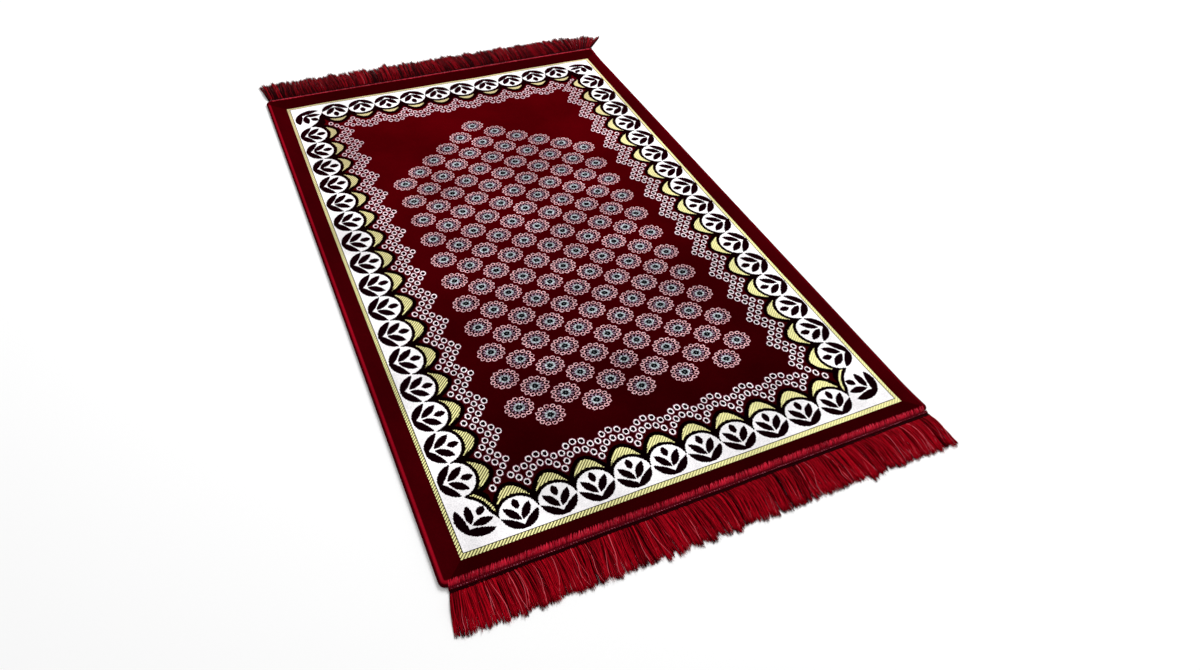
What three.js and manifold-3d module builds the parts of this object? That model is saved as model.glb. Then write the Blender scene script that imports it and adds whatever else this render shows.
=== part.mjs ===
// Velour prayer rug lying flat, with a yarn fringe sewn along each end.
// Millimetres, +Z up. X runs across the rug, Y runs along it and the floor is z = 0.
// The origin is the middle of the cloth's underside.

import * as THREE from 'three';
import { mergeVertices } from 'three/addons/utils/BufferGeometryUtils.js';
import Module from 'manifold-3d';

// ---------------------------------------------------------------- driving dimensions

const cloth = {
  width: 666,         // across the rug
  length: 1085,       // along the rug, without the fringes
  thickness: 6,       // woven ground and cut pile together
  cornerRadius: 9,
  cornerSteps: 5,
};

// The pile rolls over the rug's rim in a wide, low shoulder and tucks in underneath.
const rim = {
  shoulderWidth: 8,
  shoulderHeight: 3.8,
  shoulderSteps: 5,
  tuckWidth: 1.6,
  tuckSteps: 2,
};

const fringe = {
  seamGap: 0.3,       // between the cloth's end and the heading
  strands: 146,
  strandWidth: 3.2,
  strandLength: 52,
  lengthSpread: 7,    // the longest strand is this much longer than the shortest
  rootDepth: 2,       // how far a strand starts inside the heading
  tipWidthShare: 0.6, // what is left of the width at a strand's tip
  topWidthShare: 0.6, // a strand's upper face against its lower one
  sway: 2.4,          // neighbouring strands wave to and fro together by this much
  swayLength: 250,    // along the heading, from one such wave to the next
  tipScatter: 0.7,    // what each strand's tip strays by itself
};

// A strand's height at even steps from its root to its tip: the yarns fluff up where they are loose.
const strandHeights = [2.2, 3.6, 4.6, 4.8, 4];

// The heading's upper side, from the cloth outwards: a flat, a stitched groove, the strands' roots.
const headingSection = [
  { outwards: 0, height: 2.6 },
  { outwards: 3, height: 2.3 },
  { outwards: 4.4, height: 1.6 },
  { outwards: 5.6, height: 2.6 },
  { outwards: 8, height: 2.8 },
];

// What differs from one fringe to the other. Each end of the heading stops short of the rug's side
// by its `setIn`. Strands by the rug's corners splay outwards: the outermost one goes that far
// sideways for each unit of its length, which dies away over `splayReach` along the heading. X is
// the fringe's own, before it is turned.
const nearFringe = {
  minusX: { setIn: 8, splay: 0.27 },
  plusX: { setIn: 6, splay: 0.16 },
  splayReach: 85,
};
const farFringe = {
  minusX: { setIn: 0, splay: 1 },
  plusX: { setIn: 6, splay: 0.2 },
  splayReach: 75,
};

// ---------------------------------------------------------------- closed solids

// Joins closed rings of equal length and closes both ends. The rings are convex and run
// anticlockwise as seen from beyond the last one.
function solidFromRings(rings) {
  const count = rings[0].length;
  const last = (rings.length - 1) * count;
  const index = [];
  for (let level = 0; level + 1 < rings.length; level += 1) {
    for (let at = 0; at < count; at += 1) {
      const here = level * count + at;
      const next = level * count + (at + 1) % count;
      index.push(here, next, next + count);
      index.push(here, next + count, here + count);
    }
  }
  for (let at = 1; at + 1 < count; at += 1) {
    index.push(0, at + 1, at);
    index.push(last, last + at, last + at + 1);
  }
  const geometry = new THREE.BufferGeometry().setFromPoints(rings.flat());
  geometry.setIndex(index);
  return geometry;
}

const wasm = await Module();
wasm.setup();

function toManifold(geometry) {
  const bare = geometry.clone();
  bare.deleteAttribute('normal');
  bare.deleteAttribute('uv');
  const merged = mergeVertices(bare);
  return new wasm.Manifold(new wasm.Mesh({
    numProp: 3,
    vertProperties: merged.attributes.position.array,
    triVerts: Uint32Array.from(merged.index.array),
  }));
}

function toGeometry(manifold) {
  const mesh = manifold.getMesh();
  const geometry = new THREE.BufferGeometry();
  geometry.setAttribute('position', new THREE.BufferAttribute(mesh.vertProperties, mesh.numProp));
  geometry.setIndex(new THREE.BufferAttribute(mesh.triVerts, 1));
  return geometry;
}

// ---------------------------------------------------------------- the cloth

// The rug's outline, drawn in by `inset`: a quarter turn at each corner.
function outlineAt(inset) {
  const halfWidth = cloth.width / 2 - inset;
  const halfLength = cloth.length / 2 - inset;
  const radius = cloth.cornerRadius - inset;
  const corners = [
    { x: 1, y: 1, turnFrom: 0 },
    { x: -1, y: 1, turnFrom: Math.PI / 2 },
    { x: -1, y: -1, turnFrom: Math.PI },
    { x: 1, y: -1, turnFrom: Math.PI * 1.5 },
  ];
  const points = [];
  for (const corner of corners) {
    const centreX = corner.x * (halfWidth - radius);
    const centreY = corner.y * (halfLength - radius);
    for (let step = 0; step <= cloth.cornerSteps; step += 1) {
      const turn = corner.turnFrom + (Math.PI / 2) * (step / cloth.cornerSteps);
      points.push(new THREE.Vector2(centreX + radius * Math.cos(turn), centreY + radius * Math.sin(turn)));
    }
  }
  return points;
}

// The rim's section from the underside to the top, as quarter ellipses.
function rimSection() {
  const tuckHeight = cloth.thickness - rim.shoulderHeight;
  const section = [];
  for (let step = 0; step < rim.tuckSteps; step += 1) {
    const turn = (Math.PI / 2) * (step / rim.tuckSteps);
    section.push({
      inset: rim.tuckWidth * (1 - Math.sin(turn)),
      height: tuckHeight * (1 - Math.cos(turn)),
    });
  }
  for (let step = 0; step <= rim.shoulderSteps; step += 1) {
    const turn = (Math.PI / 2) * (step / rim.shoulderSteps);
    section.push({
      inset: rim.shoulderWidth * (1 - Math.cos(turn)),
      height: tuckHeight + rim.shoulderHeight * Math.sin(turn),
    });
  }
  return section;
}

function clothGeometry() {
  const rings = rimSection().map(({ inset, height }) => (
    outlineAt(inset).map((point) => new THREE.Vector3(point.x, point.y, height))
  ));
  return solidFromRings(rings);
}

// ---------------------------------------------------------------- the fringes
// Each is made in its own frame: the heading's cloth side is at y = 0 and the strands run to -Y.

const headingDepth = headingSection.at(-1).outwards;

function headingEnds(ends) {
  return {
    from: ends.minusX.setIn - cloth.width / 2,
    to: cloth.width / 2 - ends.plusX.setIn,
  };
}

function headingGeometry(ends) {
  const { from, to } = headingEnds(ends);
  const section = new THREE.Shape();
  section.moveTo(0, 0);
  for (const { outwards, height } of headingSection) section.lineTo(-outwards, height);
  section.lineTo(-headingDepth, 0);
  section.closePath();
  const geometry = new THREE.ExtrudeGeometry(section, { depth: to - from, bevelEnabled: false });
  const acrossTheRug = new THREE.Matrix4().makeBasis(
    new THREE.Vector3(0, 1, 0),
    new THREE.Vector3(0, 0, 1),
    new THREE.Vector3(1, 0, 0),
  );
  geometry.applyMatrix4(acrossTheRug);
  geometry.translate(from, 0, 0);
  return geometry;
}

// A repeatable share from 0 to 1 that looks random from one whole number to the next: the
// fraction that is left of a sine made very large.
function scatter(number) {
  const angleStep = 12.9898;
  const gain = 43758.5453;
  const large = gain * Math.sin(number * angleStep);
  return large - Math.floor(large);
}

// How far the strand rooted at `rootX` has swayed sideways, a share of its length from its root.
function swayAt(rootX, share, strand) {
  const wave = (at) => fringe.sway * Math.sin(2 * Math.PI * (rootX / fringe.swayLength + at));
  return wave(share) - wave(0) + share * fringe.tipScatter * (scatter(strand) - 0.5);
}

// How far the strand rooted at `rootX` goes sideways for each unit along its own straight way.
function splayAt(rootX, ends) {
  const { from, to } = headingEnds(ends);
  const fromMinusX = Math.max(0, 1 - (rootX - from) / ends.splayReach);
  const fromPlusX = Math.max(0, 1 - (to - rootX) / ends.splayReach);
  return ends.plusX.splay * fromPlusX ** 2 - ends.minusX.splay * fromMinusX ** 2;
}

function strandGeometry(strand, ends) {
  const { from, to } = headingEnds(ends);
  const rootX = from + (to - from) * ((strand + 0.5) / fringe.strands);
  const rootY = fringe.rootDepth - headingDepth;
  const length = fringe.strandLength + fringe.lengthSpread * (scatter(strand + fringe.strands) - 0.5);
  const splay = splayAt(rootX, ends);
  const reach = (fringe.rootDepth + length) / Math.hypot(1, splay);
  const rings = strandHeights.map((height, step) => {
    const share = step / (strandHeights.length - 1);
    const x = rootX + share * reach * splay + swayAt(rootX, share, strand);
    const y = rootY - share * reach;
    const lower = (fringe.strandWidth / 2) * (1 - share * (1 - fringe.tipWidthShare));
    const upper = lower * fringe.topWidthShare;
    return [
      new THREE.Vector3(x - lower, y, 0),
      new THREE.Vector3(x + lower, y, 0),
      new THREE.Vector3(x + upper, y, height),
      new THREE.Vector3(x - upper, y, height),
    ];
  });
  return solidFromRings(rings);
}

function fringeGeometry(ends) {
  const pieces = [toManifold(headingGeometry(ends))];
  for (let strand = 0; strand < fringe.strands; strand += 1) {
    pieces.push(toManifold(strandGeometry(strand, ends)));
  }
  return toGeometry(wasm.Manifold.union(pieces));
}

// ---------------------------------------------------------------- the rug

function velour() {
  return new THREE.MeshStandardMaterial({ color: 0x4a0a12, roughness: 0.95, metalness: 0 });
}

function fringeYarn() {
  return new THREE.MeshStandardMaterial({ color: 0x8a1020, roughness: 0.6, metalness: 0 });
}

function namedMesh(name, geometry, material) {
  geometry.computeVertexNormals();
  const mesh = new THREE.Mesh(geometry, material);
  mesh.name = name;
  return mesh;
}

const rugCloth = namedMesh('rug_cloth', clothGeometry(), velour());

const endSeam = cloth.length / 2 + fringe.seamGap;
const fringeNear = namedMesh('fringe_near', fringeGeometry(nearFringe), fringeYarn());
fringeNear.position.y = -endSeam;

const fringeFar = namedMesh('fringe_far', fringeGeometry(farFringe), fringeYarn());
fringeFar.position.y = endSeam;
fringeFar.rotation.z = Math.PI;

const prayerRug = new THREE.Group();
prayerRug.add(rugCloth, fringeNear, fringeFar);

export default prayerRug;
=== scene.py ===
import math

import bpy
import numpy as np
from mathutils import Matrix, Vector


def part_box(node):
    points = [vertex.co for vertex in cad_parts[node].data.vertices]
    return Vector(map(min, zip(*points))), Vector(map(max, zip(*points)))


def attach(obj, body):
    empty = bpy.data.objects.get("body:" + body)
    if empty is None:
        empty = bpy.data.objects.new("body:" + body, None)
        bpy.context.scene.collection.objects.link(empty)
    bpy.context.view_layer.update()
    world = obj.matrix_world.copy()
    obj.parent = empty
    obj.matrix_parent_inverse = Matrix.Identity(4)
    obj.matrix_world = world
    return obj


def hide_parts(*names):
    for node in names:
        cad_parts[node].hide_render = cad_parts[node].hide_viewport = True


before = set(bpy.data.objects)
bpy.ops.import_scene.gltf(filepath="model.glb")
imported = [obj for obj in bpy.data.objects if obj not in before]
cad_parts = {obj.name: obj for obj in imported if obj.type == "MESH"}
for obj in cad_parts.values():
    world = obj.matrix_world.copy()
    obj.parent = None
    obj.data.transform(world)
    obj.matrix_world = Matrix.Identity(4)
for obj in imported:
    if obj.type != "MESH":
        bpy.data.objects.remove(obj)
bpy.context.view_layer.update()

# ------------------------ the view
# The rug is seen from beyond its near end and a little to the left, from about head height of
# someone kneeling. Places are measured from the middle of the woven border's outer line.

mm = 0.001
half_width, half_length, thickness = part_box("rug_cloth")[1]

# The weavers centred the pattern neither across nor along.
margin_left, margin_right = 31.0 * mm, 26.1 * mm
margin_near, margin_far = 23.8 * mm, 43.9 * mm
pattern_half = Vector((
    half_width - (margin_left + margin_right) / 2, half_length - (margin_near + margin_far) / 2))
pattern_middle = Vector(((margin_left - margin_right) / 2, (margin_near - margin_far) / 2, thickness))

camera_spot = pattern_middle + Vector((-0.41388, -1.00858, 0.84141))
camera_aim = pattern_middle + Vector((-0.01565, -0.24601, 0))
camera_roll = math.radians(4.043)


def placed(name, data):
    """Puts a new object in the scene."""
    made = bpy.data.objects.new(name, data)
    bpy.context.scene.collection.objects.link(made)
    return made


def facing(spot, aim):
    """The place and turn of a camera or a lamp that stands at one spot and looks at another."""
    return Matrix.Translation(spot) @ (aim - spot).to_track_quat("-Z", "Y").to_matrix().to_4x4()


camera_data = bpy.data.cameras.new("view")
camera_data.sensor_width = 36
camera_data.lens = 25.8
camera = placed("view", camera_data)
camera.matrix_world = facing(camera_spot, camera_aim) @ Matrix.Rotation(camera_roll, 4, "Z")
bpy.context.scene.camera = camera

# ------------------------ the velour cloth
# A machine-woven velour: polyester pile cut about 5 mm tall on a thin woven ground. Its sides and
# ends are rolled under and sewn, so the pile runs over every edge and the corners come out a
# little round. The cloth isn't quite even, and its two right corners splay out a few millimetres.

corner_radius = 9 * mm
corner_splay, splay_reach = 3.5 * mm, 60 * mm
shoulder_width = 8 * mm        # the rolled edge is a quarter ellipse, this wide and this high
shoulder_height = 3.8 * mm
tuck_width = 1.6 * mm          # how far the underside is set in
shoulder_steps = 7
mesh_step = 5 * mm
wave_lengths = (310, 240, 190, 150, 110, 80)    # of its unevenness, in mm
wave_steepness = 0.0016        # a wave's height against its length
settle_reach = 60 * mm         # the waves die away this far from the edge


def rows_across(half):
    """The mesh's rows from one edge to the other, close together over the rolled edges."""
    turns = np.linspace(0, math.pi / 2, shoulder_steps)
    inset = shoulder_width * (1 - np.cos(turns))
    inner = half - shoulder_width
    middle = np.linspace(-inner, inner, 2 * round(inner / mesh_step) + 1)[1:-1]
    return np.concatenate([inset - half, middle, (half - inset)[::-1]])


def cut_to_outline(flat_x, flat_y):
    """Rounds the corners of a plain rectangle's points, then splays the two right ones."""
    over_x = np.maximum(abs(flat_x) - (half_width - corner_radius), 0)
    over_y = np.maximum(abs(flat_y) - (half_length - corner_radius), 0)
    drawn_in = np.maximum(over_x, over_y) / np.maximum(np.hypot(over_x, over_y), 1e-9)
    drawn_in = np.where((over_x > 0) & (over_y > 0), drawn_in, 1)
    x = np.sign(flat_x) * (abs(flat_x) - over_x * (1 - drawn_in))
    y = np.sign(flat_y) * (abs(flat_y) - over_y * (1 - drawn_in))
    to_the_right = np.clip(x / half_width, 0, 1)
    to_an_end = np.clip(1 - (half_length - abs(y)) / splay_reach, 0, 1)
    return x + corner_splay * to_the_right ** 4 * to_an_end ** 2, y


def unevenness(x, y, random):
    """A few long, low waves that cross at random, such as a cloth keeps from its folds."""
    height = np.zeros_like(x)
    for wave_length in np.array(wave_lengths) * mm:
        heading = random.uniform(0, math.pi)
        start = random.uniform(0, 2 * math.pi)
        along = x * math.cos(heading) + y * math.sin(heading)
        height += wave_steepness * wave_length * np.sin(2 * math.pi * along / wave_length + start)
    return height


columns, rows = rows_across(half_width), rows_across(half_length)
flat_x, flat_y = (grid.ravel() for grid in np.meshgrid(columns, rows))
inset = np.minimum(half_width - abs(flat_x), half_length - abs(flat_y))
round_share = np.clip(1 - inset / shoulder_width, 0, 1)
top_x, top_y = cut_to_outline(flat_x, flat_y)
top_z = thickness - shoulder_height * (1 - np.sqrt(1 - round_share ** 2))
settled = np.clip(inset / settle_reach, 0, 1)
top_z += settled * unevenness(top_x, top_y, np.random.default_rng(4))

across, down = len(columns), len(rows)
edge = np.concatenate([
    np.arange(across - 1),
    np.arange(down - 1) * across + across - 1,
    (down * across - 1) - np.arange(across - 1),
    (down - 1 - np.arange(down - 1)) * across])
tuck_height = thickness - shoulder_height
half_turn_in = tuck_width * (1 - math.cos(math.pi / 4))
skirt_x, skirt_y = cut_to_outline(
    flat_x[edge] * (1 - half_turn_in / half_width), flat_y[edge] * (1 - half_turn_in / half_length))
skirt_z = np.full(len(edge), tuck_height * (1 - math.sin(math.pi / 4)))
under_x, under_y = cut_to_outline(
    flat_x * (1 - tuck_width / half_width), flat_y * (1 - tuck_width / half_length))

grid_count, edge_count = across * down, len(edge)
points = np.concatenate([
    np.stack([top_x, top_y, top_z], 1),
    np.stack([skirt_x, skirt_y, skirt_z], 1),
    np.stack([under_x, under_y, np.zeros(grid_count)], 1)])
cells = (np.arange(down - 1)[:, None] * across + np.arange(across - 1)).ravel()
top_faces = np.stack([cells, cells + 1, cells + across + 1, cells + across], 1)
under_start = grid_count + edge_count
under_faces = under_start + top_faces[:, ::-1]
skirt = grid_count + np.arange(edge_count)
under_edge = under_start + edge
rolled_faces = np.concatenate([
    np.stack([upper, lower, np.roll(lower, -1), np.roll(upper, -1)], 1)
    for upper, lower in ((edge, skirt), (skirt, under_edge))])
faces = np.concatenate([top_faces, rolled_faces, under_faces])
is_underside = np.arange(len(faces)) >= len(top_faces) + len(rolled_faces)



def smooth_mesh(name, points, faces):
    """A new mesh, shaded smooth."""
    mesh = bpy.data.meshes.new(name)
    mesh.from_pydata(points.tolist(), [], faces)
    mesh.polygons.foreach_set("use_smooth", [True] * len(faces))
    return mesh


def add_values(mesh, name, values):
    """Gives a mesh a value at each of its points, for its material to read."""
    made = mesh.attributes.new(name, "FLOAT", "POINT")
    made.data.foreach_set("value", values.astype(np.float32).ravel())


cloth_mesh = smooth_mesh("prayer_rug_cloth", points, faces.tolist())
cloth_mesh.polygons.foreach_set("material_index", is_underside.astype(np.int32))


# The woven pattern bows a little to the left, and its two side borders have crept along the cloth.
# All of this is in millimetres.
side_bow, end_bow, middle_bow = 3.2, 3.5, 4.2
left_creep = ([-432, -216, 0, 216, 432], [0, -5.5, -2, -1, 0])
right_creep = ([-508, -432, -216, 0, 216, 447, 508], [0, 2, -1, 4.3, 7.5, 14.8, 0])
border_start = ([390, 440], [175, 235])         # its inner edge goes outwards near the ends
border_fade = 30


def woven_place(flat_x, flat_y):
    """Where each point is on the loom's straight chart, in metres from the pattern's middle."""
    x, y = (flat_x - pattern_middle.x) / mm, (flat_y - pattern_middle.y) / mm
    off_sides = np.clip(1 - (x / pattern_half.x * mm) ** 2, 0, 1)
    off_ends = np.clip(1 - (y / pattern_half.y * mm) ** 2, 0, 1)
    bow = (side_bow * off_ends + end_bow * off_sides
           + (middle_bow - side_bow - end_bow) * off_ends * off_sides)
    in_border = np.clip((abs(x) - np.interp(abs(y), *border_start)) / border_fade, 0, 1)
    creep = np.where(x < 0, np.interp(y, *left_creep), np.interp(y, *right_creep))
    return (x + bow) * mm, (y - in_border * creep) * mm


def at_corners(values):
    """Takes a value for each point of the pile's grid to the corners of all the faces."""
    return np.concatenate([values, values[edge], values])[faces.ravel()]


def add_map(mesh, name, u, v):
    """Adds a flat map to a mesh, with a place for each corner of its faces."""
    mesh.uv_layers.new(name=name).uv.foreach_set("vector", np.stack([u, v], 1).ravel())


woven_x, woven_y = woven_place(flat_x, flat_y)
add_map(cloth_mesh, "weave", at_corners(woven_x), at_corners(woven_y))

# The layout for a baked picture: the pile fills most of it, and the underside lies in a strip above.
pile_middle, pile_half_u, pile_half_v = 0.44, 0.490, 0.428
strip_middle, strip_half_u, strip_half_v = 0.942, 0.495, 0.050
share_x, share_y = at_corners(flat_x) / half_width, at_corners(flat_y) / half_length
rolled_on = np.repeat([1.000, 1.006, 1.012], [grid_count, edge_count, grid_count])[faces.ravel()]
on_underside = np.repeat(is_underside, 4)
add_map(cloth_mesh, "OFBake",
        0.5 + np.where(on_underside, strip_half_u * share_y, pile_half_u * rolled_on * share_x),
        np.where(on_underside, strip_middle - strip_half_v * share_x,
                 pile_middle + pile_half_v * rolled_on * share_y))

add_values(cloth_mesh, "rolled", np.concatenate([round_share, np.ones(edge_count + grid_count)]))
cloth = placed("prayer_rug_cloth", cloth_mesh)


def linear(srgb_hex):
    """The linear colour that a shader needs, from an sRGB one written as six hex digits."""
    shares = [int(srgb_hex[i:i + 2], 16) / 255 for i in (0, 2, 4)]
    return (*(s / 12.92 if s <= 0.04045 else ((s + 0.055) / 1.055) ** 2.4 for s in shares), 1)


def node(tree, kind, inputs=(), out=0, **settings):
    """Adds a shader node with its settings and links, and gives one of its outputs. What a math
    node does or a mix node works on comes after its kind, with a dot between."""
    kind, _, work = kind.partition(".")
    made = tree.nodes.new("ShaderNode" + kind)
    if work:
        setattr(made, "data_type" if kind == "Mix" else "operation", work)
    for name, value in settings.items():
        setattr(made, name, value)
    for socket, value in inputs.items() if isinstance(inputs, dict) else enumerate(inputs):
        if isinstance(value, bpy.types.NodeSocket):
            tree.links.new(value, made.inputs[socket])
        else:
            made.inputs[socket].default_value = value
    return made.outputs[out] if made.outputs else None


def new_material(name):
    """A new material, and its node tree with nothing in it."""
    material = bpy.data.materials.new(name)
    material.use_nodes = True
    material.node_tree.nodes.clear()
    return material, material.node_tree


# Polyester velour: matt and deep where the pile is looked into, and lighter at a low angle, where
# the light catches the sides of the fibres. Every colour is a yarn of its own, so each tuft has one
# colour, and the edges of the motifs go in steps of a tuft.
velour, weave = new_material("polyester_velour")

tuft = 1.1                     # these chart sizes are in millimetres
pattern_across, pattern_along = pattern_half.x / mm, pattern_half.y / mm
black, white, leaf_dark = linear("030001"), linear("fdfafc"), linear("0a0003")

cloth_mm = node(weave, "VectorMath.MULTIPLY", [node(weave, "UVMap", uv_map="weave"), (1 / mm,) * 3])
in_tufts = node(weave, "VectorMath.DIVIDE", [cloth_mm, (tuft,) * 3])
tuft_number = node(weave, "VectorMath.FLOOR", [in_tufts])
tuft_middle = node(weave, "VectorMath.MULTIPLY_ADD", [tuft_number, (tuft,) * 3, (tuft / 2, tuft / 2, 0)])
folded = node(weave, "VectorMath.ABSOLUTE", [tuft_middle])
depth = node(weave, "VectorMath.SUBTRACT", [(pattern_across, pattern_along, 0), folded])
to_the_right, away = (node(weave, "SeparateXYZ", [tuft_middle], out=axis) for axis in "XY")
off_middle_x, off_middle_y = (node(weave, "SeparateXYZ", [folded], out=axis) for axis in "XY")
from_side, from_end = (node(weave, "SeparateXYZ", [depth], out=axis) for axis in "XY")

# The border is a row of round cells, 10 along each end and 16 down each side, with one more cell
# across each corner. A cell is charted once, by how far a tuft is from its axis and from the edge.
end_half, side_half = 24.65, 27.0          # half of a cell, along an end and along a side
corner_across, corner_along = pattern_across - 10 * end_half, pattern_along - 16 * side_half
side_shift = 3.2                           # the cells of a side stand this much nearer the edge
corner_wide, corner_deep = 0.661, 0.747    # a corner's cell against its diagonals (0.707 is true)
corner_shift, corner_inset = 7.3, 24.5     # and where it stands on them
end_valley = node(weave, "Math.PINGPONG", [off_middle_x, end_half])
side_valley = node(weave, "Math.PINGPONG", [off_middle_y, side_half])
side_depth = node(weave, "Math.ADD", [from_side, side_shift])
end_cell = node(weave, "CombineXYZ", [node(weave, "Math.SUBTRACT", [end_half, end_valley]), from_end])
side_cell = node(weave, "CombineXYZ", [
    node(weave, "Math.MULTIPLY_ADD", [side_valley, -end_half / side_half, end_half]), side_depth])
to_one_side = node(weave, "VectorMath.DOT_PRODUCT", [depth, (corner_wide, -corner_wide, 0)], out="Value")
inwards = node(weave, "VectorMath.DOT_PRODUCT", [depth, (corner_deep, corner_deep, 0)], out="Value")
corner_cell = node(weave, "CombineXYZ", [
    node(weave, "Math.ABSOLUTE", [node(weave, "Math.ADD", [to_one_side, corner_shift])]),
    node(weave, "Math.SUBTRACT", [inwards, corner_inset])])
in_side_row = node(weave, "Math.LESS_THAN", [
    from_side, node(weave, "Math.SUBTRACT", [from_end, corner_along - corner_across])])
in_corner = node(weave, "Math.MULTIPLY", [
    node(weave, "Math.LESS_THAN", [from_side, corner_across]),
    node(weave, "Math.LESS_THAN", [from_end, corner_along])])
band_cell = node(weave, "Mix.VECTOR", {0: in_side_row, 4: end_cell, 5: side_cell}, out=1)
cell = node(weave, "Mix.VECTOR", {0: in_corner, 4: band_cell, 5: corner_cell}, out=1)
off_axis, from_edge = (node(weave, "SeparateXYZ", [cell], out=axis) for axis in "XY")


def outside_disc(place, centre, radius):
    """How far a place on the chart is outside a disc."""
    reach = node(weave, "VectorMath.DISTANCE", [place, (*centre, 0)], out="Value")
    return node(weave, "Math.SUBTRACT", [reach, radius])


def outside_line(place, normal, offset):
    """How far a place on the chart is beyond a straight line."""
    reach = node(weave, "VectorMath.DOT_PRODUCT", [place, (*normal, 0)], out="Value")
    return node(weave, "Math.SUBTRACT", [reach, offset])


def laid_over(ground, layers):
    """Lays colours over a ground in turn. Each has how far a tuft is outside its shape, and the
    most that this may be."""
    for paint, outside, limit in layers:
        inside = node(weave, "Math.LESS_THAN", [outside, limit])
        ground = node(weave, "Mix.RGBA", {0: inside, 6: ground, 7: paint}, out=2)
    return ground


# Several things change along the rug. A row has two places, from the middle, and the value at each.
leaf_swell, outline_width, beaten_up, crisp_near, yellow_share, field_sheen_share, ring_share = (
    node(weave, "MapRange", {
        "Value": away, "From Min": near_place, "From Max": far_place, "To Min": near_value,
        "To Max": far_value})
    for near_place, far_place, near_value, far_value in (
        (-300, 500, 0.2, 0.75), (0, 500, 4.2, 6.2), (400, 440, 0, -3.0), (-260, 260, 1.0, 0.6),
        (-150, 420, 0, 1), (-420, 380, 0, 1), (-300, 420, 0, 1)))

# A sprig of five leaves: a bud over two pairs. Each leaf is what two discs share, and the right half
# is folded over to the left, so the bud needs only one disc. The lowest leaves are thicker in a
# corner, and all of them swell a little towards the far end.
stem_gap, corner_swell = 0.6, 1.8
bud = outside_disc(cell, (-4.2, 45.7), 8.6)
middle_leaf = node(weave, "Math.MAXIMUM", [
    node(weave, "Math.MAXIMUM", [
        outside_disc(cell, (20.8, 24.8), 19.9), outside_disc(cell, (-3.6, 42.0), 19.9)]),
    node(weave, "Math.SUBTRACT", [stem_gap, off_axis])])
lower_disc = node(weave, "Math.MULTIPLY_ADD", [
    in_corner, -corner_swell, outside_disc(cell, (0, 33.3), 23.0)])
lower_leaf = node(weave, "Math.MAXIMUM", [lower_disc, outside_disc(cell, (45.0, -24.1), 60.1)])
leaves = node(weave, "Math.MINIMUM", [node(weave, "Math.MINIMUM", [bud, middle_leaf]), lower_leaf])

# Each cell has a white disc, and white fills the row up to the cusp between two discs. The white
# ground of a corner bulges between two such cusps.
cusp = 34.5
band_white = node(weave, "Math.MINIMUM", [
    outside_disc(cell, (0, 31.7), 24.6), node(weave, "Math.SUBTRACT", [from_edge, cusp])])
corner_white = node(weave, "Math.MINIMUM", [
    outside_disc(depth, (15.7, 42.0), 35.8),
    node(weave, "Math.MAXIMUM", [
        outside_line(depth, (0.872, 0.491), 67.9), outside_line(depth, (0.70, 0.715), 76.3)])])
past_white = node(weave, "Mix", {0: in_corner, 2: band_white, 3: corner_white})


def outside_band(height, bend, corner_width):
    """How far a tuft is outside a band that falls away in a scallop from each cell's axis. In a
    corner the band has one width round the white ground."""
    fallen = node(weave, "Math.MULTIPLY", [off_axis, off_axis])
    reach = node(weave, "Math.MULTIPLY_ADD", [fallen, bend, from_edge])
    return node(weave, "Mix", {
        0: in_corner, 2: node(weave, "Math.SUBTRACT", [reach, height]),
        3: node(weave, "Math.SUBTRACT", [corner_white, corner_width])})


# A crescent of yellow hatching stands on each disc, with a black scallop behind it and a black
# outline round the white. Weft beaten up harder makes the last crescents thinner, and the outline
# is heavier there. The corner has only a thin sliver of the hatching.
crescent = outside_band(73.0, 0.0495, 7.2)
scallop = outside_band(79.0, 0.035, 15.0)

# The hatching slants across the border, two tufts dark and two pale, so a stroke comes every 4.4 mm
# along it. Real strokes come every 3.8 mm, too fine to show on this grid, so these are coarser. They
# are crisp in the near left corner and worn pale elsewhere.
hatch_repeat, hatch_dark = 4, 2            # in tufts
slant = node(weave, "VectorMath.DOT_PRODUCT", [tuft_number, (1, -1, 0)], out="Value")
stroke_turn = node(weave, "Math.FLOORED_MODULO", [slant, hatch_repeat])
stroke = node(weave, "Math.LESS_THAN", [stroke_turn, hatch_dark - 0.5])
crisp_left = node(weave, "MapRange", {
    "Value": to_the_right, "From Min": -160, "From Max": 120, "To Min": 0.9, "To Max": 0.38})
crispness = node(weave, "Math.MULTIPLY", [crisp_left, crisp_near])
yellow = node(weave, "Mix.RGBA", {0: yellow_share, 6: linear("fffab0"), 7: linear("dccd98")}, out=2)
hatching = node(weave, "Mix.RGBA", {
    0: node(weave, "Math.MULTIPLY", [stroke, crispness]), 6: yellow, 7: linear("2a2000")}, out=2)

# The field is the same maroon as the margin, with painted sheen: it is painted lighter towards the far
# end, where the pile is seen at a lower angle.
field_red_with_sheen = node(weave, "Mix.RGBA", {0: field_sheen_share, 6: linear("2a0002"), 7: linear("4a0004")}, out=2)
colour = laid_over(field_red_with_sheen, [
    (black, scallop, 0), (hatching, crescent, beaten_up), (black, past_white, outline_width),
    (white, past_white, -0.7), (leaf_dark, leaves, leaf_swell)])

# Two strings of small rings follow the scallops. A row gives how far from the middle its string
# ends, and each ring's place from the valley between two cells and from the pattern's edge.
ring_across, ring_along = 4.6, 5.7         # half of a ring's width and height
out_of_reach = 9                           # in a ring's radii, for those past a string's end
end_strings = [
    (216.8, [(0, 69.9), (6.7, 79.3), (14.6, 86.9), (24.65, 90.1)]),
    (206.8, [(5.1, 92.9), (14.0, 100.8), (24.3, 103.8)])]
side_strings = [
    (428.6, [(0, 69.3), (9.1, 77.8), (18.2, 84.8), (27.0, 91.9)]),
    (405.0, [(0, 84.8), (9.0, 91.8), (18.0, 99.0)]),
    (378.0, [(27.0, 105.7)])]


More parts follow.
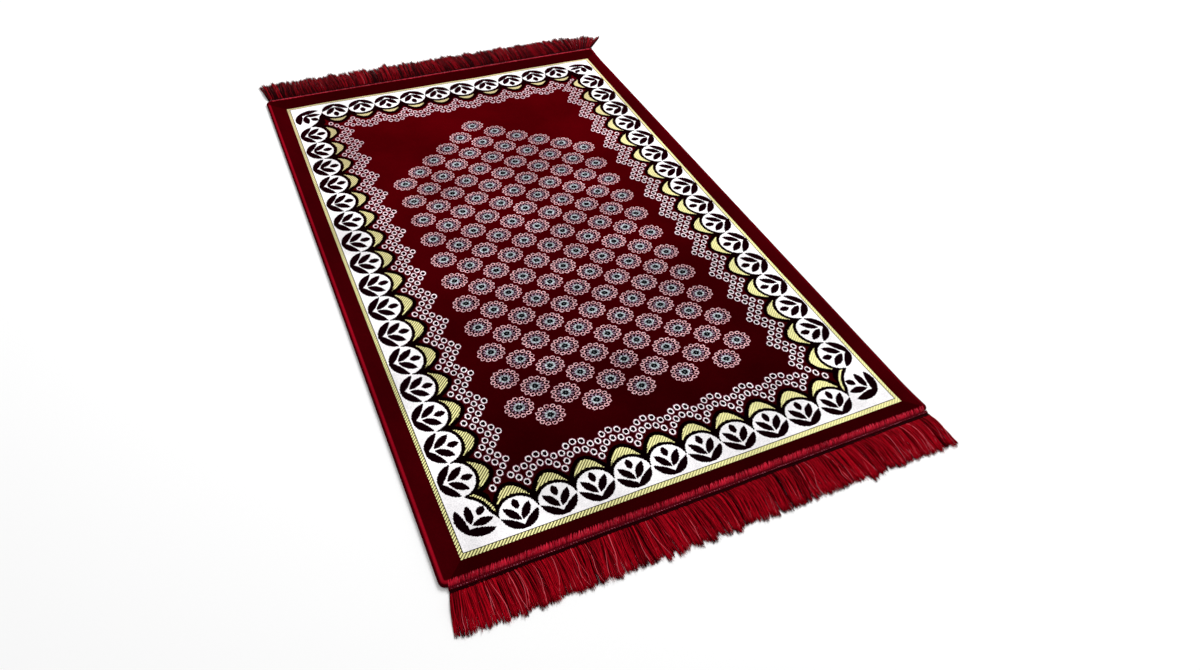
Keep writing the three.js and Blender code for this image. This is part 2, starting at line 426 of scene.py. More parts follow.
def ring_radii(place, centre, half_sizes):
    """How many of a ring's radii a place is from its middle."""
    scale = (1 / half_sizes[0], 1 / half_sizes[1], 0)
    scaled = node(weave, "VectorMath.MULTIPLY", [place, scale])
    middle = (centre[0] * scale[0], centre[1] * scale[1], 0)
    return node(weave, "VectorMath.DISTANCE", [scaled, middle], out="Value")


nearest_ring = ring_radii(depth, (65.8, 76.6), (ring_across, ring_along))
end_place = node(weave, "CombineXYZ", [end_valley, from_end])
side_place = node(weave, "CombineXYZ", [side_valley, side_depth])
for place, off_middle, half_sizes, strings in (
        (end_place, off_middle_x, (ring_across, ring_along), end_strings),
        (side_place, off_middle_y, (ring_along, ring_across), side_strings)):
    for last, centres in strings:
        past_last = node(weave, "Math.GREATER_THAN", [off_middle, last])
        kept_away = node(weave, "Math.MULTIPLY", [past_last, out_of_reach])
        for centre in centres:
            shown = node(weave, "Math.MAXIMUM", [ring_radii(place, centre, half_sizes), kept_away])
            nearest_ring = node(weave, "Math.MINIMUM", [nearest_ring, shown])
ring_white = node(weave, "Mix.RGBA", {0: ring_share, 6: linear("fffafd"), 7: linear("fcd8e0")}, out=2)
colour = laid_over(colour, [
    (linear("a06878"), nearest_ring, 0.98), (ring_white, nearest_ring, 0.85),
    (linear("0c0003"), nearest_ring, 0.6)])

# The field holds 136 flower rounds in staggered rows that come to a point at the far end, as the
# niche of a prayer rug does. Odd and even rows are two plain grids; the nearer middle counts.
column_step, row_step = 32.65, 26.46
off_centre, top_row, widest = 0.6, 308.3, 165
middle_row, rows_each_way = 12, 13.5
from_top = node(weave, "VectorMath.MULTIPLY_ADD", [tuft_middle, (1, -1, 0), (off_centre, top_row, 0)])


def round_in_grid(shift):
    """The middle of the nearest flower round in the grid that is shifted by that many steps."""
    moved = node(weave, "VectorMath.ADD", [from_top, (column_step * shift, row_step * (1 - shift), 0)])
    snapped = node(weave, "VectorMath.SNAP", [moved, (2 * column_step, 2 * row_step, 1)])
    return node(weave, "VectorMath.ADD", [snapped, (column_step * (1 - shift), row_step * shift, 0)])


even_round, odd_round = round_in_grid(0), round_in_grid(1)
odd_is_nearer = node(weave, "Math.LESS_THAN", [
    node(weave, "VectorMath.DISTANCE", [from_top, middle], out="Value")
    for middle in (odd_round, even_round)])
round_middle = node(weave, "Mix.VECTOR", {0: odd_is_nearer, 4: even_round, 5: odd_round}, out=1)
sideways = node(weave, "Math.ABSOLUTE", [node(weave, "SeparateXYZ", [round_middle], out="X")])
downwards = node(weave, "SeparateXYZ", [round_middle], out="Y")
under_point = node(weave, "Math.MULTIPLY_ADD", [downwards, -column_step / row_step, sideways])
past_rows = node(weave, "Math.ABSOLUTE", [node(weave, "Math.ADD", [downwards, -middle_row * row_step])])
is_topmost = node(weave, "Math.LESS_THAN", [downwards, -1])

# A round is a ring of 12 small loops, then 12 pale petals between them and a flecked grey ring with
# a dark middle. The topmost round stands a little further off than its row would.
loops, loop_ring = 12, 16.0
ring_wide, ring_tall = 16.4, 14.6          # the ring of loops as woven
top_raise = 4
raised = node(weave, "VectorMath.MULTIPLY", [(0, top_raise, 0), is_topmost])
off_round = node(weave, "VectorMath.SUBTRACT", [from_top, round_middle])
from_middle = node(weave, "VectorMath.MULTIPLY", [
    node(weave, "VectorMath.ADD", [off_round, raised]),
    (loop_ring / ring_wide, loop_ring / ring_tall, 0)])
round_reach = node(weave, "VectorMath.LENGTH", [from_middle], out="Value")
bearing = node(weave, "Math.ARCTAN2", [
    node(weave, "SeparateXYZ", [from_middle], out=axis) for axis in "YX"])
sector = 2 * math.pi / loops
past_spoke = node(weave, "Math.FLOORED_MODULO", [node(weave, "Math.ADD", [bearing, sector / 2]), sector])
from_spoke = node(weave, "Math.SUBTRACT", [past_spoke, sector / 2])
on_spoke = node(weave, "CombineXYZ", [
    node(weave, "Math.MULTIPLY", [node(weave, "Math." + part, [from_spoke]), round_reach])
    for part in ("COSINE", "SINE")])

loop = outside_disc(on_spoke, (loop_ring, 0), 0)
fleck = node(weave, "TexWhiteNoise", [tuft_number], out="Value", noise_dimensions="2D")
loop_pink = node(weave, "Mix.RGBA", {0: fleck, 6: linear("d8929c"), 7: linear("fad0d4")}, out=2)
petal_start = 0.31                         # how far off a spoke, as a share of the sector
between_spokes = node(weave, "Math.GREATER_THAN", [
    node(weave, "Math.ABSOLUTE", [from_spoke]), petal_start * sector])
petal = node(weave, "Math.MULTIPLY", [
    between_spokes, node(weave, "MapRange", {"Value": fleck, "To Min": 0.15, "To Max": 0.9})])
inner_petals = node(weave, "Mix.RGBA", {0: petal, 6: linear("1a0006"), 7: linear("c49cb4")}, out=2)
pale_ring = node(weave, "Mix.RGBA", {0: fleck, 6: linear("3c4450"), 7: linear("d0dade")}, out=2)
rosette = laid_over(field_red_with_sheen, [
    (loop_pink, loop, 3.45), (linear("180004"), loop, 2.2), (linear("180004"), round_reach, 12.6),
    (inner_petals, round_reach, 11.4), (pale_ring, round_reach, 7.3),
    (linear("04080c"), round_reach, 4.4), (linear("5c6468"), round_reach, 0.9)])
round_radius = 20.2
outside_round = node(weave, "Math.SUBTRACT", [round_reach, round_radius])
for reach, limit in ((under_point, column_step + 1), (sideways, widest),
                     (past_rows, rows_each_way * row_step)):
    beyond = node(weave, "Math.SUBTRACT", [reach, limit])
    outside_round = node(weave, "Math.MAXIMUM", [outside_round, beyond])
colour = laid_over(colour, [(rosette, outside_round, 0)])

# Along the border's edge runs a two-colour rope with a thin dark line inside it; past it the cloth
# is plain. The rope is widest at the near end and narrowest on the right, where it also stands in.
edge_sides = node(weave, "VectorMath.SIGN", [tuft_middle])
uneven_depth = node(weave, "VectorMath.MULTIPLY_ADD", [edge_sides, (-0.6, 1.25, 0), depth])
rope_depth = node(weave, "VectorMath.ADD", [uneven_depth, (1.1, 0.75, 0)])
rope = node(weave, "Math.MINIMUM", [node(weave, "SeparateXYZ", [rope_depth], out=axis) for axis in "XY"])
right_inset = 2.0
on_right = node(weave, "Math.GREATER_THAN", [to_the_right, 0])
past_rope = node(weave, "Math.MINIMUM", [
    node(weave, "Math.MULTIPLY_ADD", [on_right, -right_inset, from_side]), from_end])
beside_row = node(weave, "Math.LESS_THAN", [from_side, from_end])
maroon = node(weave, "Mix.RGBA", {0: beside_row, 6: linear("2c0002"), 7: linear("3a0004")}, out=2)
colour = laid_over(colour, [
    (linear("2a2418"), rope, 6.9), (hatching, rope, 5.6), (maroon, past_rope, -0.7)])

# Over the rolled edges the pile opens, and its colour is painted redder and lighter there as sheen, as
# where the sides of its fibres catch the light. On the left this painted sheen is a bright painted
# highlight line along that edge; lower down, where the roll turns under, it gives way to a dark maroon.
roll = node(weave, "Attribute", attribute_name="rolled", out="Fac")
opened, turned_under = (
    node(weave, "MapRange", {"Value": roll, "From Min": start, "From Max": stop, "To Max": most},
         interpolation_type="SMOOTHSTEP")
    for start, stop, most in ((0.12, 0.35, 0.9), (0.5, 0.8, 1)))
on_left_rim = node(weave, "Math.GREATER_THAN", [beside_row, on_right])
# Painted highlight: the left rim's painted sheen is a brighter red than that of the other edges.
rim_sheen_red = node(weave, "Mix.RGBA", {0: on_left_rim, 6: linear("58020c"), 7: linear("9c0c1e")}, out=2)
colour = node(weave, "Mix.RGBA", {0: opened, 6: colour, 7: rim_sheen_red}, out=2)
colour = node(weave, "Mix.RGBA", {0: turned_under, 6: colour, 7: linear("3a0006")}, out=2)

# No two tufts are dyed or cut alike, and soft patches of painted sheen, lighter and darker, stand for
# pile brushed different ways.
sheen_patches = node(weave, "TexNoise", {
    "Vector": cloth_mm, "Scale": 1 / 130, "Detail": 3.0, "Roughness": 0.55},
    out="Fac", noise_dimensions="2D")
dye_and_sheen = node(weave, "Math.MULTIPLY", [
    node(weave, "MapRange", {"Value": fleck, "To Min": 0.84, "To Max": 1.08}),
    node(weave, "MapRange", {
        "Value": sheen_patches, "From Min": 0.35, "From Max": 0.68, "To Min": 0.85, "To Max": 1.2})])
yarn_colour = node(weave, "VectorMath.SCALE", {0: colour, "Scale": dye_and_sheen})

tuft_place = node(weave, "VectorMath.FRACTION", [in_tufts])
off_tuft = node(weave, "VectorMath.DISTANCE", [tuft_place, (0.5, 0.5, 0)], out="Value")
tuft_dome = node(weave, "Math.SUBTRACT", [1, off_tuft])
combed = node(weave, "TexNoise", {
    "Vector": cloth_mm, "Scale": 1 / 14, "Detail": 4.0}, out="Fac", noise_dimensions="2D")
pile_height = node(weave, "Math.MULTIPLY_ADD", [combed, 2.5, tuft_dome])
pile_lean = node(weave, "Bump", {"Strength": 0.55, "Distance": 0.6 * mm, "Height": pile_height})
pile_shader = node(weave, "BsdfPrincipled", {
    "Base Color": yarn_colour, "Roughness": 0.95, "IOR": 1.5, "Specular IOR Level": 0.0,
    "Sheen Weight": 0.2, "Sheen Roughness": 0.35, "Sheen Tint": linear("b80008"),
    "Normal": pile_lean})
node(weave, "OutputMaterial", [pile_shader])

# The woven ground, seen from below: stiff, flat polyester ribs 1.6 mm apart, sized to a dull sheen,
# with dark red pile yarn showing between the paler warp, which is 2.2 mm apart.
wave_repeat = math.pi / 10                 # of a wave texture's bands, at a scale of 1
ground_back, back = new_material("woven_polyester_back")
back_mm = node(back, "VectorMath.MULTIPLY", [node(back, "UVMap", uv_map="weave"), (1 / mm,) * 3])
back_weft = node(back, "TexWave", {
    "Vector": back_mm, "Scale": wave_repeat / 1.6, "Distortion": 0.6}, out="Fac", bands_direction="Y")
back_warp = node(back, "TexWave", {
    "Vector": back_mm, "Scale": wave_repeat / 2.2, "Distortion": 0.4}, out="Fac")
woven = node(back, "Math.MULTIPLY", [back_weft, back_warp])
worn = node(back, "TexNoise", {
    "Vector": back_mm, "Scale": 1 / 60, "Detail": 3.0}, out="Fac", noise_dimensions="2D")
back_red = node(back, "Mix.RGBA", {0: woven, 6: linear("2a0508"), 7: linear("7a2c34")}, out=2)
back_red = node(back, "Mix.RGBA", {
    0: node(back, "MapRange", {"Value": worn, "From Min": 0.3, "From Max": 0.7, "To Max": 0.2}),
    6: back_red, 7: linear("8a5a58")}, out=2)
node(back, "OutputMaterial", [node(back, "BsdfPrincipled", {
    "Base Color": back_red, "Roughness": 0.8, "IOR": 1.5, "Specular IOR Level": 0.3,
    "Normal": node(back, "Bump", {"Strength": 0.6, "Distance": 0.4 * mm, "Height": woven})})])

cloth.data.materials.append(velour)
cloth.data.materials.append(ground_back)
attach(cloth, "root")
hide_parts("rug_cloth")

# ------------------------ the rolled ends
# Where the cloth is rolled under at its two ends, the pile opens over the fold in soft streaks that lean
# a little to one side. They are the same yarn as the field, painted crimson as sheen, since it is looked
# at from the side.


def unrolled_squares(mesh, count, steps, sides):
    """Unrolls each of a mesh's tubes into a square of its own, so that one baked picture can hold
    them all. The walls come first in the mesh, then a pointed end at the root and one at the tip."""
    gutter = 0.08
    side, row = np.arange(sides), np.repeat(np.arange(steps - 1), sides)
    wall_side = np.tile(side, steps - 1)
    wall_u = np.stack([wall_side, wall_side, wall_side + 1, wall_side + 1], 1) / sides
    wall_v = (np.stack([row, row + 1, row + 1, row], 1) + 1) / (steps + 1)
    cap_u = np.concatenate([
        np.stack([side, side + 1, side + 0.5], 1), np.stack([side + 1, side, side + 0.5], 1)]) / sides
    cap_v = np.repeat([[1, 1, 0], [steps, steps, steps + 1]], sides, 0) / (steps + 1)
    squares = math.ceil(math.sqrt(count))

    def spread(square, *shares):
        start = square[:, None, None] + gutter
        return np.concatenate([
            ((start + (1 - 2 * gutter) * share) / squares).ravel() for share in shares])

    tube = np.arange(count)
    add_map(mesh, "OFBake", spread(tube % squares, wall_u, cap_u),
            spread(tube // squares, wall_v, cap_v))


def tubes(name, lines, radii, sides, tones):
    """One mesh of many thin tubes with pointed ends. lines is tube, step, xyz; the radii and the
    tones, which the material reads, have a value at each step."""
    count, steps, _ = lines.shape
    along = np.gradient(lines, axis=1)
    along /= np.linalg.norm(along, axis=2, keepdims=True)
    across = np.cross(along, (0, 0, 1))
    across /= np.linalg.norm(across, axis=2, keepdims=True)
    over = np.cross(across, along)
    turn = 2 * math.pi * (np.arange(sides) + 0.25) / sides
    spokes = np.cos(turn)[:, None] * across[:, :, None] + np.sin(turn)[:, None] * over[:, :, None]
    rings = lines[:, :, None] + radii[:, :, None, None] * spokes
    root = lines[:, :1] - along[:, :1] * radii[:, :1, None]
    tip = lines[:, -1:] + along[:, -1:] * radii[:, -1:, None]
    points = np.concatenate([rings.reshape(count, -1, 3), root, tip], 1)

    side = np.arange(sides)
    after = (side + 1) % sides
    row, last = np.arange(steps - 1)[:, None] * sides, (steps - 1) * sides
    wall = np.stack([row + side, row + sides + side, row + sides + after, row + after], 2)
    ends = np.concatenate([
        np.stack([side, after, np.full(sides, steps * sides)], 1),
        np.stack([last + after, last + side, np.full(sides, steps * sides + 1)], 1)])
    first_point = np.arange(count)[:, None, None] * (steps * sides + 2)
    walls = (first_point + wall.reshape(-1, 4)).reshape(-1, 4).tolist()
    caps = (first_point + ends).reshape(-1, 3).tolist()
    mesh = smooth_mesh(name, points.reshape(-1, 3), walls + caps)
    ring_tones = np.repeat(tones, sides, 1)
    add_values(mesh, "tone", np.concatenate([ring_tones, tones[:, :1], tones[:, -1:]], 1))
    unrolled_squares(mesh, count, steps, sides)
    return placed(name, mesh)


def at_end(lines, end):
    """Moves lines made for the near end there, or turns them round to the far end."""
    at_near = lines * (1, -1, 1) + (0, -half_length, 0)
    return at_near if end == "near" else at_near * (-1, -1, 1)


# At each end the right corner splays, and that is the other side once the far end is turned round.
splay_of_sides = {"near": (0, corner_splay), "far": (corner_splay, 0)}
streak_pitch, streak_radius, streak_steps = 1.6 * mm, 1.25 * mm, 9
streak_sunk = 0.5              # how much of its radius is down in the pile
streak_lean = 0.35             # sideways, for its length
foot_turn, foot_out, foot_drop = -0.12, 0.2 * mm, 1.2 * mm      # just under the fold's outer edge


def end_pile(end, random):
    to_minus, to_plus = splay_of_sides[end]
    low = -half_width + corner_radius - to_minus
    high = half_width - corner_radius + to_plus
    count = round((high - low) / streak_pitch)
    middle = low + (np.arange(count) + 0.5) * (high - low) / count
    middle += random.normal(0, 0.35 * mm, count)
    reach = random.uniform(1.0, 1.22, count)
    turn = np.linspace(foot_turn, math.pi / 2, streak_steps)
    inward = shoulder_width * (1 - np.cos(turn)) * reach[:, None]
    inward = np.where(turn < 0, -foot_out, inward)
    share = np.clip(1 - inward / shoulder_width, 0, 1)
    height = thickness - shoulder_height * (1 - np.sqrt(1 - share ** 2))
    height = np.where(turn < 0, height - foot_drop, height) - streak_sunk * streak_radius
    lean = random.normal(streak_lean, 0.12, count)[:, None] * inward
    swell = np.sin(np.linspace(0.35, math.pi * 0.93, streak_steps))
    radii = streak_radius * swell * random.uniform(0.8, 1.15, count)[:, None]
    lean = lean if end == "near" else -lean
    height = np.maximum(height, 1.1 * radii)
    lines = np.stack([middle[:, None] + lean, -inward * np.ones_like(lean), height], 2)

    # Wide and narrow patches of the pile catch more of the light.
    waves = 0.46 + 0.16 * np.sin(middle / (38 * mm) + 1) + 0.14 * np.sin(middle / (9 * mm))
    tones = (waves + random.normal(0, 0.24, count))[:, None] * np.ones(streak_steps)
    return tubes("rolled_pile_" + end, at_end(lines, end), radii, 5, np.clip(tones, 0, 1))


# Polyester pile seen from the side: painted crimson as sheen, with a soft gloss along each streak and
# pale pink painted highlights along a grain of fibres about 0.6 mm wide.
side_pile_sheen, pile = new_material("polyester_pile_painted_sheen")
streak_tone = node(pile, "Attribute", attribute_name="tone", out="Fac")
streak_sheen_red = node(pile, "Mix.RGBA", {0: streak_tone, 6: linear("760010"), 7: linear("d01a34")}, out=2)
fibre = node(pile, "TexNoise", {"Vector": node(pile, "VectorMath.MULTIPLY", [
    node(pile, "NewGeometry", out="Position"), (1.8 / mm, 0.3 / mm, 0.6 / mm)]),
    "Scale": 1.0, "Detail": 3.0}, out="Fac")
streak_sheen_red = node(pile, "Mix.RGBA", {
    0: node(pile, "MapRange", {"Value": fibre, "From Min": 0.55, "From Max": 0.75, "To Max": 0.5}),
    6: streak_sheen_red, 7: linear("e07080")}, out=2)
node(pile, "OutputMaterial", [node(pile, "BsdfPrincipled", {
    "Base Color": streak_sheen_red, "Roughness": 0.55, "IOR": 1.5, "Specular IOR Level": 0.1,
    "Specular Tint": linear("ff5068"),
    "Sheen Weight": 0.15, "Sheen Roughness": 0.35, "Sheen Tint": linear("d02040"),
    "Normal": node(pile, "Bump", {"Strength": 0.4, "Distance": 0.3 * mm, "Height": fibre})})])

for end, seed in (("near", 11), ("far", 12)):
    rolled_pile = end_pile(end, np.random.default_rng(seed))
    rolled_pile.data.materials.append(side_pile_sheen)
    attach(rolled_pile, "root")

# ------------------------ the fringe headings
# Each fringe is knotted into a narrow woven tape, sewn on under the rolled end. Its profile has two
# low ridges with a groove between them, where a line of running stitches holds it to the cloth.

seam_gap = 0.3 * mm
heading_ends = {               # how far it stops short of the cloth's two sides
    "near": (8 * mm, 6 * mm - corner_splay),
    "far": (-corner_splay, 6 * mm)}
heading_profile = np.array([   # outwards and up
    (0.2, 0.0), (0.2, 2.9), (1.2, 3.1), (2.5, 2.8), (3.4, 2.1), (4.2, 1.7), (4.9, 1.5),
    (5.6, 1.6), (6.4, 2.2), (7.4, 2.5), (8.2, 2.2), (8.5, 1.2), (8.5, 0.0)]) * mm
inner_edge, inner_ridge = 1 * mm, 3.6 * mm      # these parts of the profile end that far out


def heading_line(end, spacing):
    """Evenly spaced places along one heading, at about that spacing."""
    short_minus, short_plus = heading_ends[end]
    low, high = -half_width + short_minus, half_width - short_plus
    return np.linspace(low, high, round((high - low) / spacing) + 1)


def heading_tape(end):
    """The tape, a little uneven in its width and height along the cloth."""
    x = heading_line(end, 2 * mm)
    out, up = heading_profile.T
    wander = 0.25 * mm * np.sin(x / (17 * mm)) + 0.2 * mm * np.sin(x / (41 * mm) + 2)
    high = 1 + 0.05 * np.sin(x / (9 * mm)) + 0.04 * np.sin(x / (23 * mm) + 1)
    o = seam_gap + out + (out > inner_edge) * wander[:, None]
    lines = np.stack([x[:, None] + 0 * o, o, up * high[:, None]], 2)
    steps, count = len(out), len(x) - 1
    points = at_end(lines, end).reshape(-1, 3)
    step = np.tile(np.arange(steps), count)
    start = np.repeat(np.arange(count), steps) * steps
    after = (step + 1) % steps
    walls = np.stack([start + step, start + after, start + steps + after, start + steps + step], 1)
    caps = [list(range(steps))[::-1], list(range(count * steps, (count + 1) * steps))]
    mesh = smooth_mesh("fringe_heading_" + end, points, walls.tolist() + caps)
    for cap in mesh.polygons[-2:]:
        cap.use_smooth = False

    # For a baked picture the tape is unrolled lengthways, with its two cut ends above.
    column = np.repeat(np.arange(count), steps)
    wall_u = 0.02 + 0.96 * np.stack([column, column, column + 1, column + 1], 1) / count
    wall_v = 0.02 + 0.80 * np.stack([step, step + 1, step + 1, step], 1) / steps
    add_map(mesh, "OFBake",
            np.concatenate([wall_u.ravel(), 0.1 + 10 * out[::-1], 0.5 + 10 * out]),
            np.concatenate([wall_v.ravel(), 0.88 + 10 * up[::-1], 0.88 + 10 * up]))
    # Painted shade: the tape's outer part, past its inner ridge, gets a tone of 0, which the material
    # paints darkest.
    add_values(mesh, "tone", np.tile(out < inner_ridge, count + 1))
    return placed("fringe_heading_" + end, mesh)


# Rayon tape, woven of the fringe's own dark red yarn in small uneven bars, 2 mm of the length each.
# Its outer part is painted darkest, as shade where the yarns leave it.
rayon_tape, tape = new_material("woven_rayon_tape")
bars = node(tape, "TexWave", {
    "Vector": node(tape, "NewGeometry", out="Position"), "Scale": wave_repeat / (2 * mm),
    "Distortion": 1.2, "Detail": 1.0}, out="Fac")
bar_red = node(tape, "Mix.RGBA", {0: bars, 6: linear("2a0006"), 7: linear("6a0818")}, out=2)
tape_out_of_shade = node(tape, "Attribute", attribute_name="tone", out="Fac")
tape_red_and_shade = node(tape, "Mix.RGBA", {0: tape_out_of_shade, 6: linear("160002"), 7: bar_red}, out=2)
node(tape, "OutputMaterial", [node(tape, "BsdfPrincipled", {
    "Base Color": tape_red_and_shade, "Roughness": 0.6, "IOR": 1.5, "Specular IOR Level": 0.02,
    "Specular Tint": linear("ff5058"),
    "Sheen Weight": 0.1, "Sheen Tint": linear("a01020"),
    "Normal": node(tape, "Bump", {"Strength": 0.7, "Distance": 0.5 * mm, "Height": bars})})])

stitch_pitch, stitch_length, stitch_radius = 3.4 * mm, 2.3 * mm, 0.3 * mm
stitch_out, stitch_height, stitch_dip = 2.9 * mm, 3.0 * mm, 0.8 * mm


def running_stitches(end, random):
    middle = heading_line(end, stitch_pitch)[1:-1]
    count = len(middle)
    share = np.linspace(-0.5, 0.5, 5)
    length = stitch_length * random.uniform(0.6, 1.1, count)[:, None]
    x = middle[:, None] + share * length
    slant = share * random.normal(0.5 * mm, 0.3 * mm, count)[:, None]
    o = seam_gap + stitch_out + slant + random.normal(0, 0.15 * mm, count)[:, None]
    z = stitch_height - stitch_dip * (2 * share) ** 2 + np.zeros_like(x)
    radii = stitch_radius * np.array([0.6, 1, 1.1, 1, 0.6]) * np.ones_like(x)
    tones = random.uniform(0.0, 1, count)[:, None] ** 1.6 * np.ones(5)
    return tubes("running_stitches_" + end, at_end(np.stack([x, o, z], 2), end), radii, 5, tones)


# Polyester sewing thread, a twist in each 0.9 mm: finer and brighter than the tape that it crosses,
# and rubbed in places.
sewing_thread, thread = new_material("polyester_sewing_thread")
rubbed = node(thread, "Attribute", attribute_name="tone", out="Fac")
thread_red = node(thread, "Mix.RGBA", {0: rubbed, 6: linear("5c0814"), 7: linear("d87488")}, out=2)
thread_twist = node(thread, "TexWave", {
    "Vector": node(thread, "NewGeometry", out="Position"),
    "Scale": 2 * wave_repeat / (0.9 * mm)}, out="Fac", bands_direction="DIAGONAL")
node(thread, "OutputMaterial", [node(thread, "BsdfPrincipled", {
    "Base Color": thread_red, "Roughness": 0.4, "IOR": 1.5, "Specular IOR Level": 0.4,
    "Normal": node(thread, "Bump", {"Strength": 0.4, "Distance": 0.1 * mm, "Height": thread_twist})})])

for end, seed in (("near", 21), ("far", 22)):
    heading = heading_tape(end)
    heading.data.materials.append(rayon_tape)
    stitches = running_stitches(end, np.random.default_rng(seed))
    stitches.data.materials.append(sewing_thread)
    for piece in (heading, stitches):
        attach(piece, "root")

# ------------------------ the fringes
# Loose ends of glossy rayon yarn, knotted in locks and combed out straight. They rise a little over
# the heading's edge, then lie down on the floor, and a few stray over their neighbours. The far
# fringe is longer, more ragged and matted.

locks = 146
yarns_in_lock = 27
lining_yarns = 12              # of these, the ones that lie lowest and hide the floor
stray_share = 0.06
yarn_steps = 8
yarn_radius = 0.34 * mm
fringe_length = {"near": 54 * mm, "far": 61 * mm}
length_spread = {"near": 8 * mm, "far": 16 * mm}
gathering = {"near": 0.3, "far": 0.45}         # how far a lock's yarns are drawn to its middle
root_out = 6.3 * mm
sway, sway_length = 2.4 * mm, 250 * mm
splay_reach_of_end = {"near": 85 * mm, "far": 75 * mm}
corner_lean = {"near": (0.27, 0.16), "far": (1.0, 0.2)}       # how far a corner fans, per length
end_tone = {"near": -0.02, "far": -0.38}
# Tones near the top of the scale are painted as a pale highlight.
brightest = 0.84                                # only stray yarns catch more of the light


def fringe(end, random):
    """All the yarns of one fringe, lock by lock."""
    low, high = heading_line(end, 300 * mm)[[0, -1]]
    pitch = (high - low) / locks
    lock_x = low + (np.arange(locks) + 0.5) * pitch
    lock = np.repeat(np.arange(locks), yarns_in_lock)
    count = len(lock)
    share = np.linspace(0, 1, yarn_steps) ** 0.9

    # Some neighbouring locks have been combed together, which opens dark gaps beside them.
    clump = np.cumsum(random.random(locks) < 0.55)
    members = np.bincount(clump)
    clump_x = np.bincount(clump, lock_x) / np.maximum(members, 1)
    drawn_to = (clump_x[clump] - lock_x) * random.uniform(0.1, 0.35, locks)
    lock_stray = random.normal(0, 1.5 * mm, locks) + random.normal(0, 1.0 * mm, len(members))[clump]
    scallops = 1.6 * mm * np.sin(lock_x / (7.5 * mm) + 1) + 1.2 * mm * np.sin(lock_x / (3 * mm))
    lock_length = scallops + random.normal(0, length_spread[end] / 5, locks)
    lock_tone = random.normal(0, 0.10, locks) + random.normal(0, 0.07, len(members))[clump]
    lock_height = random.uniform(0.75, 1.15, locks)
    place = np.tile(np.concatenate([
        (np.arange(lining_yarns) + 0.5) / lining_yarns,
        (np.arange(yarns_in_lock - lining_yarns) + 0.5) / (yarns_in_lock - lining_yarns)]), locks)
    is_lining = np.tile(np.arange(yarns_in_lock) < lining_yarns, locks)[:, None]
    is_stray = (random.random(count)[:, None] < stray_share) & ~is_lining
    root_x = lock_x[lock] + (place - 0.5 + random.uniform(-0.03, 0.03, count)) * pitch
    lean_minus, lean_plus = corner_lean[end]
    reach = splay_reach_of_end[end]
    from_minus = np.clip(1 - (root_x - low) / reach, 0, 1)
    from_plus = np.clip(1 - (high - root_x) / reach, 0, 1)
    lean = lean_plus * from_plus ** 2 - lean_minus * from_minus ** 2

    length = (fringe_length[end] + lock_length[lock] + random.normal(0, length_spread[end] / 6, count)
              - abs(random.normal(0, 2.6 * mm, count)))
    length = (length / np.hypot(1, lean))[:, None]

    def wave(at):
        return sway * np.sin(2 * math.pi * (root_x[:, None] / sway_length + 0.35 * at))

    off_lock = (root_x - lock_x[lock])[:, None]
    drawn = np.clip(share / 0.4, 0, 1)
    opened = np.clip((share - 0.55) / 0.45, 0, 1)
    looseness = np.where(is_lining, 0.35, np.where(is_stray, 2.4, 1))
    spread = looseness * random.normal(0, 1, count)[:, None]
    gathered = np.where(is_lining, 0, 1)
    x = (lock_x[lock][:, None] + off_lock * (1 - gathering[end] * gathered * drawn)
         + wave(share) - wave(0) + share * length * lean[:, None]
         + gathered * share * (lock_stray + drawn_to)[lock][:, None]
         + (0.2 * drawn + (0.4 + 0.5 * gathered) * opened) * mm * spread)
    curl = looseness * random.normal(0, 0.75 * mm, count)[:, None]
    x += curl * np.sin(math.pi * share * 1.3 + random.uniform(0, 6.28, count)[:, None])
    kink = looseness * random.normal(0, 0.45 * mm, count)[:, None] * share
    x += kink * np.sin(math.pi * share * 3.2 + random.uniform(0, 6.28, count)[:, None])
    o = root_out + seam_gap + share * length

    # A layer of 0 lies on the floor and 1 on top of its lock, which is thickest along its middle.
    layer = np.where(is_lining, random.uniform(0, 0.3, (count, 1)), random.uniform(0.35, 1, (count, 1)))
    layer = np.where(is_stray, 1, layer)
    roundness = 1 - 0.5 * (2 * off_lock / pitch) ** 2
    root_z = (0.7 + 1.0 * layer) * mm
    rise = (0.4 + 3.4 * layer * roundness) * mm * lock_height[lock][:, None]
    arch = np.sin(math.pi * np.clip(share / 0.85, 0, 1) ** 0.75)
    fall = np.clip(share / 0.9, 0, 1)
    low_z = (0.45 + 1.7 * layer) * mm
    z = root_z * (1 - fall) + low_z * fall + rise * arch
    radii = yarn_radius * (1 - 0.4 * share ** 3) * random.uniform(0.75, 1.2, count)[:, None]
    radii = np.where(is_lining, 1.5, 1.0) * radii
    z = np.maximum(z, radii + 0.05 * mm)
    # Painted shade: yarns that lie lower in a lock and further from its middle are darker, the lining
    # yarns darkest. The tone also rises towards the tips, and falls again over their last few
    # millimetres.
    tone = 0.56 * layer * roundness + lock_tone[lock][:, None] + end_tone[end]
    tone = tone + random.normal(0, 0.17, count)[:, None] + 0.32 * share
    tone = tone - 2.5 * np.clip(share - 0.88, 0, 1)
    # Painted highlight: only stray yarns may go above brightest, where the material paints them pale
    # pink.
    tone = np.where(is_stray, tone + 0.2, np.minimum(tone, brightest))
    lines = np.stack([x, o, z], 2)
    return tubes("fringe_" + end + "_yarns", at_end(lines, end), radii, 3, np.clip(tone, 0, 1))
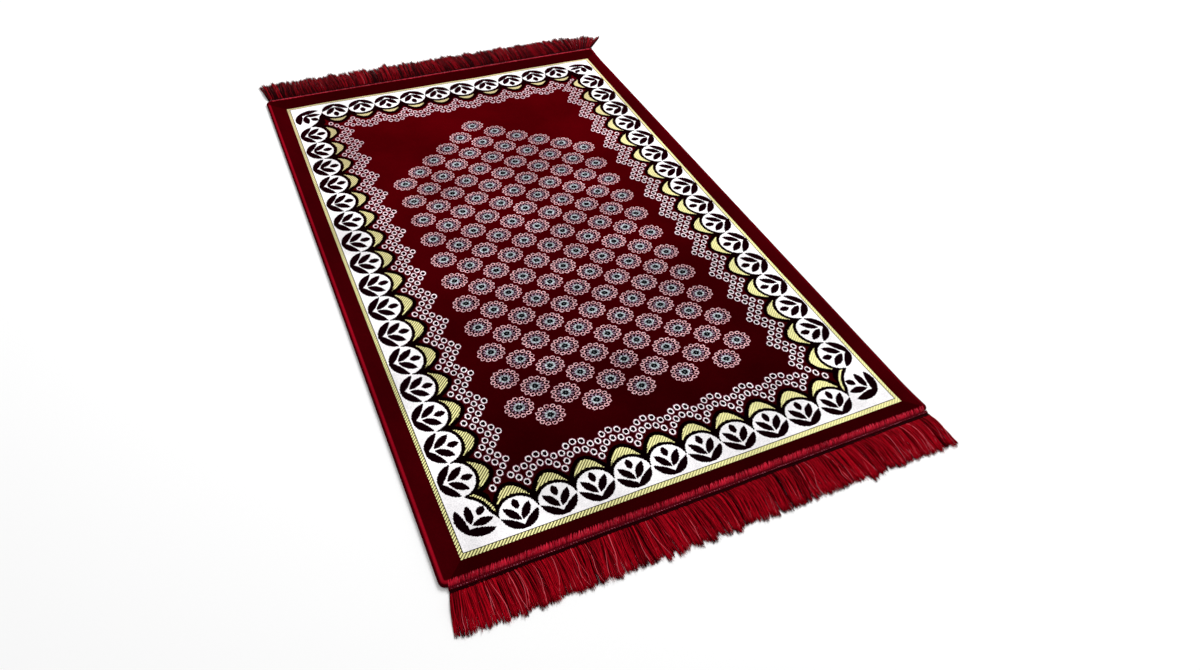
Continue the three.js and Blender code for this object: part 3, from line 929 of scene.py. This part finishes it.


# Rayon yarn: smooth fibres laid side by side. Its colour holds painted light: the dark red is painted
# deeper as shade where yarns crowd together, and the brightest yarns get a pale painted highlight along
# them.
rayon_yarn, yarn = new_material("rayon_fringe_yarn")
yarn_tone = node(yarn, "Attribute", attribute_name="tone", out="Fac")
yarn_red = node(yarn, "Mix.RGBA", {
    0: node(yarn, "MapRange", {"Value": yarn_tone, "From Max": 0.75}),
    6: linear("220004"), 7: linear("b4081c")}, out=2)
# Painted highlight: the highest tones turn pale pink.
yarn_red = node(yarn, "Mix.RGBA", {
    0: node(yarn, "MapRange", {"Value": yarn_tone, "From Min": 0.88, "From Max": 1.0}),
    6: yarn_red, 7: linear("dc5c68")}, out=2)
node(yarn, "OutputMaterial", [node(yarn, "BsdfPrincipled", {
    "Base Color": yarn_red, "Roughness": 0.45, "IOR": 1.5, "Specular IOR Level": 0.02,
    "Specular Tint": linear("ff3848"),
    "Sheen Weight": 0.12, "Sheen Roughness": 0.4, "Sheen Tint": linear("c80820")})])

for end, seed in (("near", 31), ("far", 32)):
    yarns = fringe(end, np.random.default_rng(seed))
    yarns.data.materials.append(rayon_yarn)
    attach(yarns, "root")
    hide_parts("fringe_" + end)

# ------------------------ the floor and the light
# A plain white studio floor that runs on out of sight, lit by a bright room and one large soft
# lamp behind the rug's right side.

floor_size, floor_drop = 8.0, 0.2 * mm
floor_mesh = bpy.data.meshes.new("studio_floor")
floor_mesh.from_pydata([
    (x * floor_size, y * floor_size, -floor_drop) for x, y in ((-1, -1), (1, -1), (1, 1), (-1, 1))],
    [], [(0, 1, 2, 3)])
floor = placed("studio_floor", floor_mesh)
matt_paper, paper = new_material("matt_white_paper")
paper_tone = node(paper, "TexNoise", {"Scale": 3.0}, out="Fac")
paper_white = node(paper, "Mix.RGBA", {0: paper_tone, 6: linear("fafafa"), 7: linear("ffffff")}, out=2)
node(paper, "OutputMaterial", [node(paper, "BsdfPrincipled", {
    "Base Color": paper_white, "Roughness": 0.9, "Specular IOR Level": 0.1})])
floor.data.materials.append(matt_paper)

world = bpy.data.worlds.new("bright_room")
bpy.context.scene.world = world
world.use_nodes = True
room = world.node_tree.nodes["Background"].inputs
room["Color"].default_value = linear("ffffff")
room["Strength"].default_value = 0.6

lamp_data = bpy.data.lights.new("large_soft_lamp", "AREA")
lamp_data.shape = "DISK"
lamp_data.size = 1.6
lamp_data.energy = 95
lamp = placed("large_soft_lamp", lamp_data)
lamp.matrix_world = facing(Vector((1.7, 1.5, 2.2)), Vector((0, -0.1, 0)))

bpy.context.scene.view_settings.view_transform = "Standard"
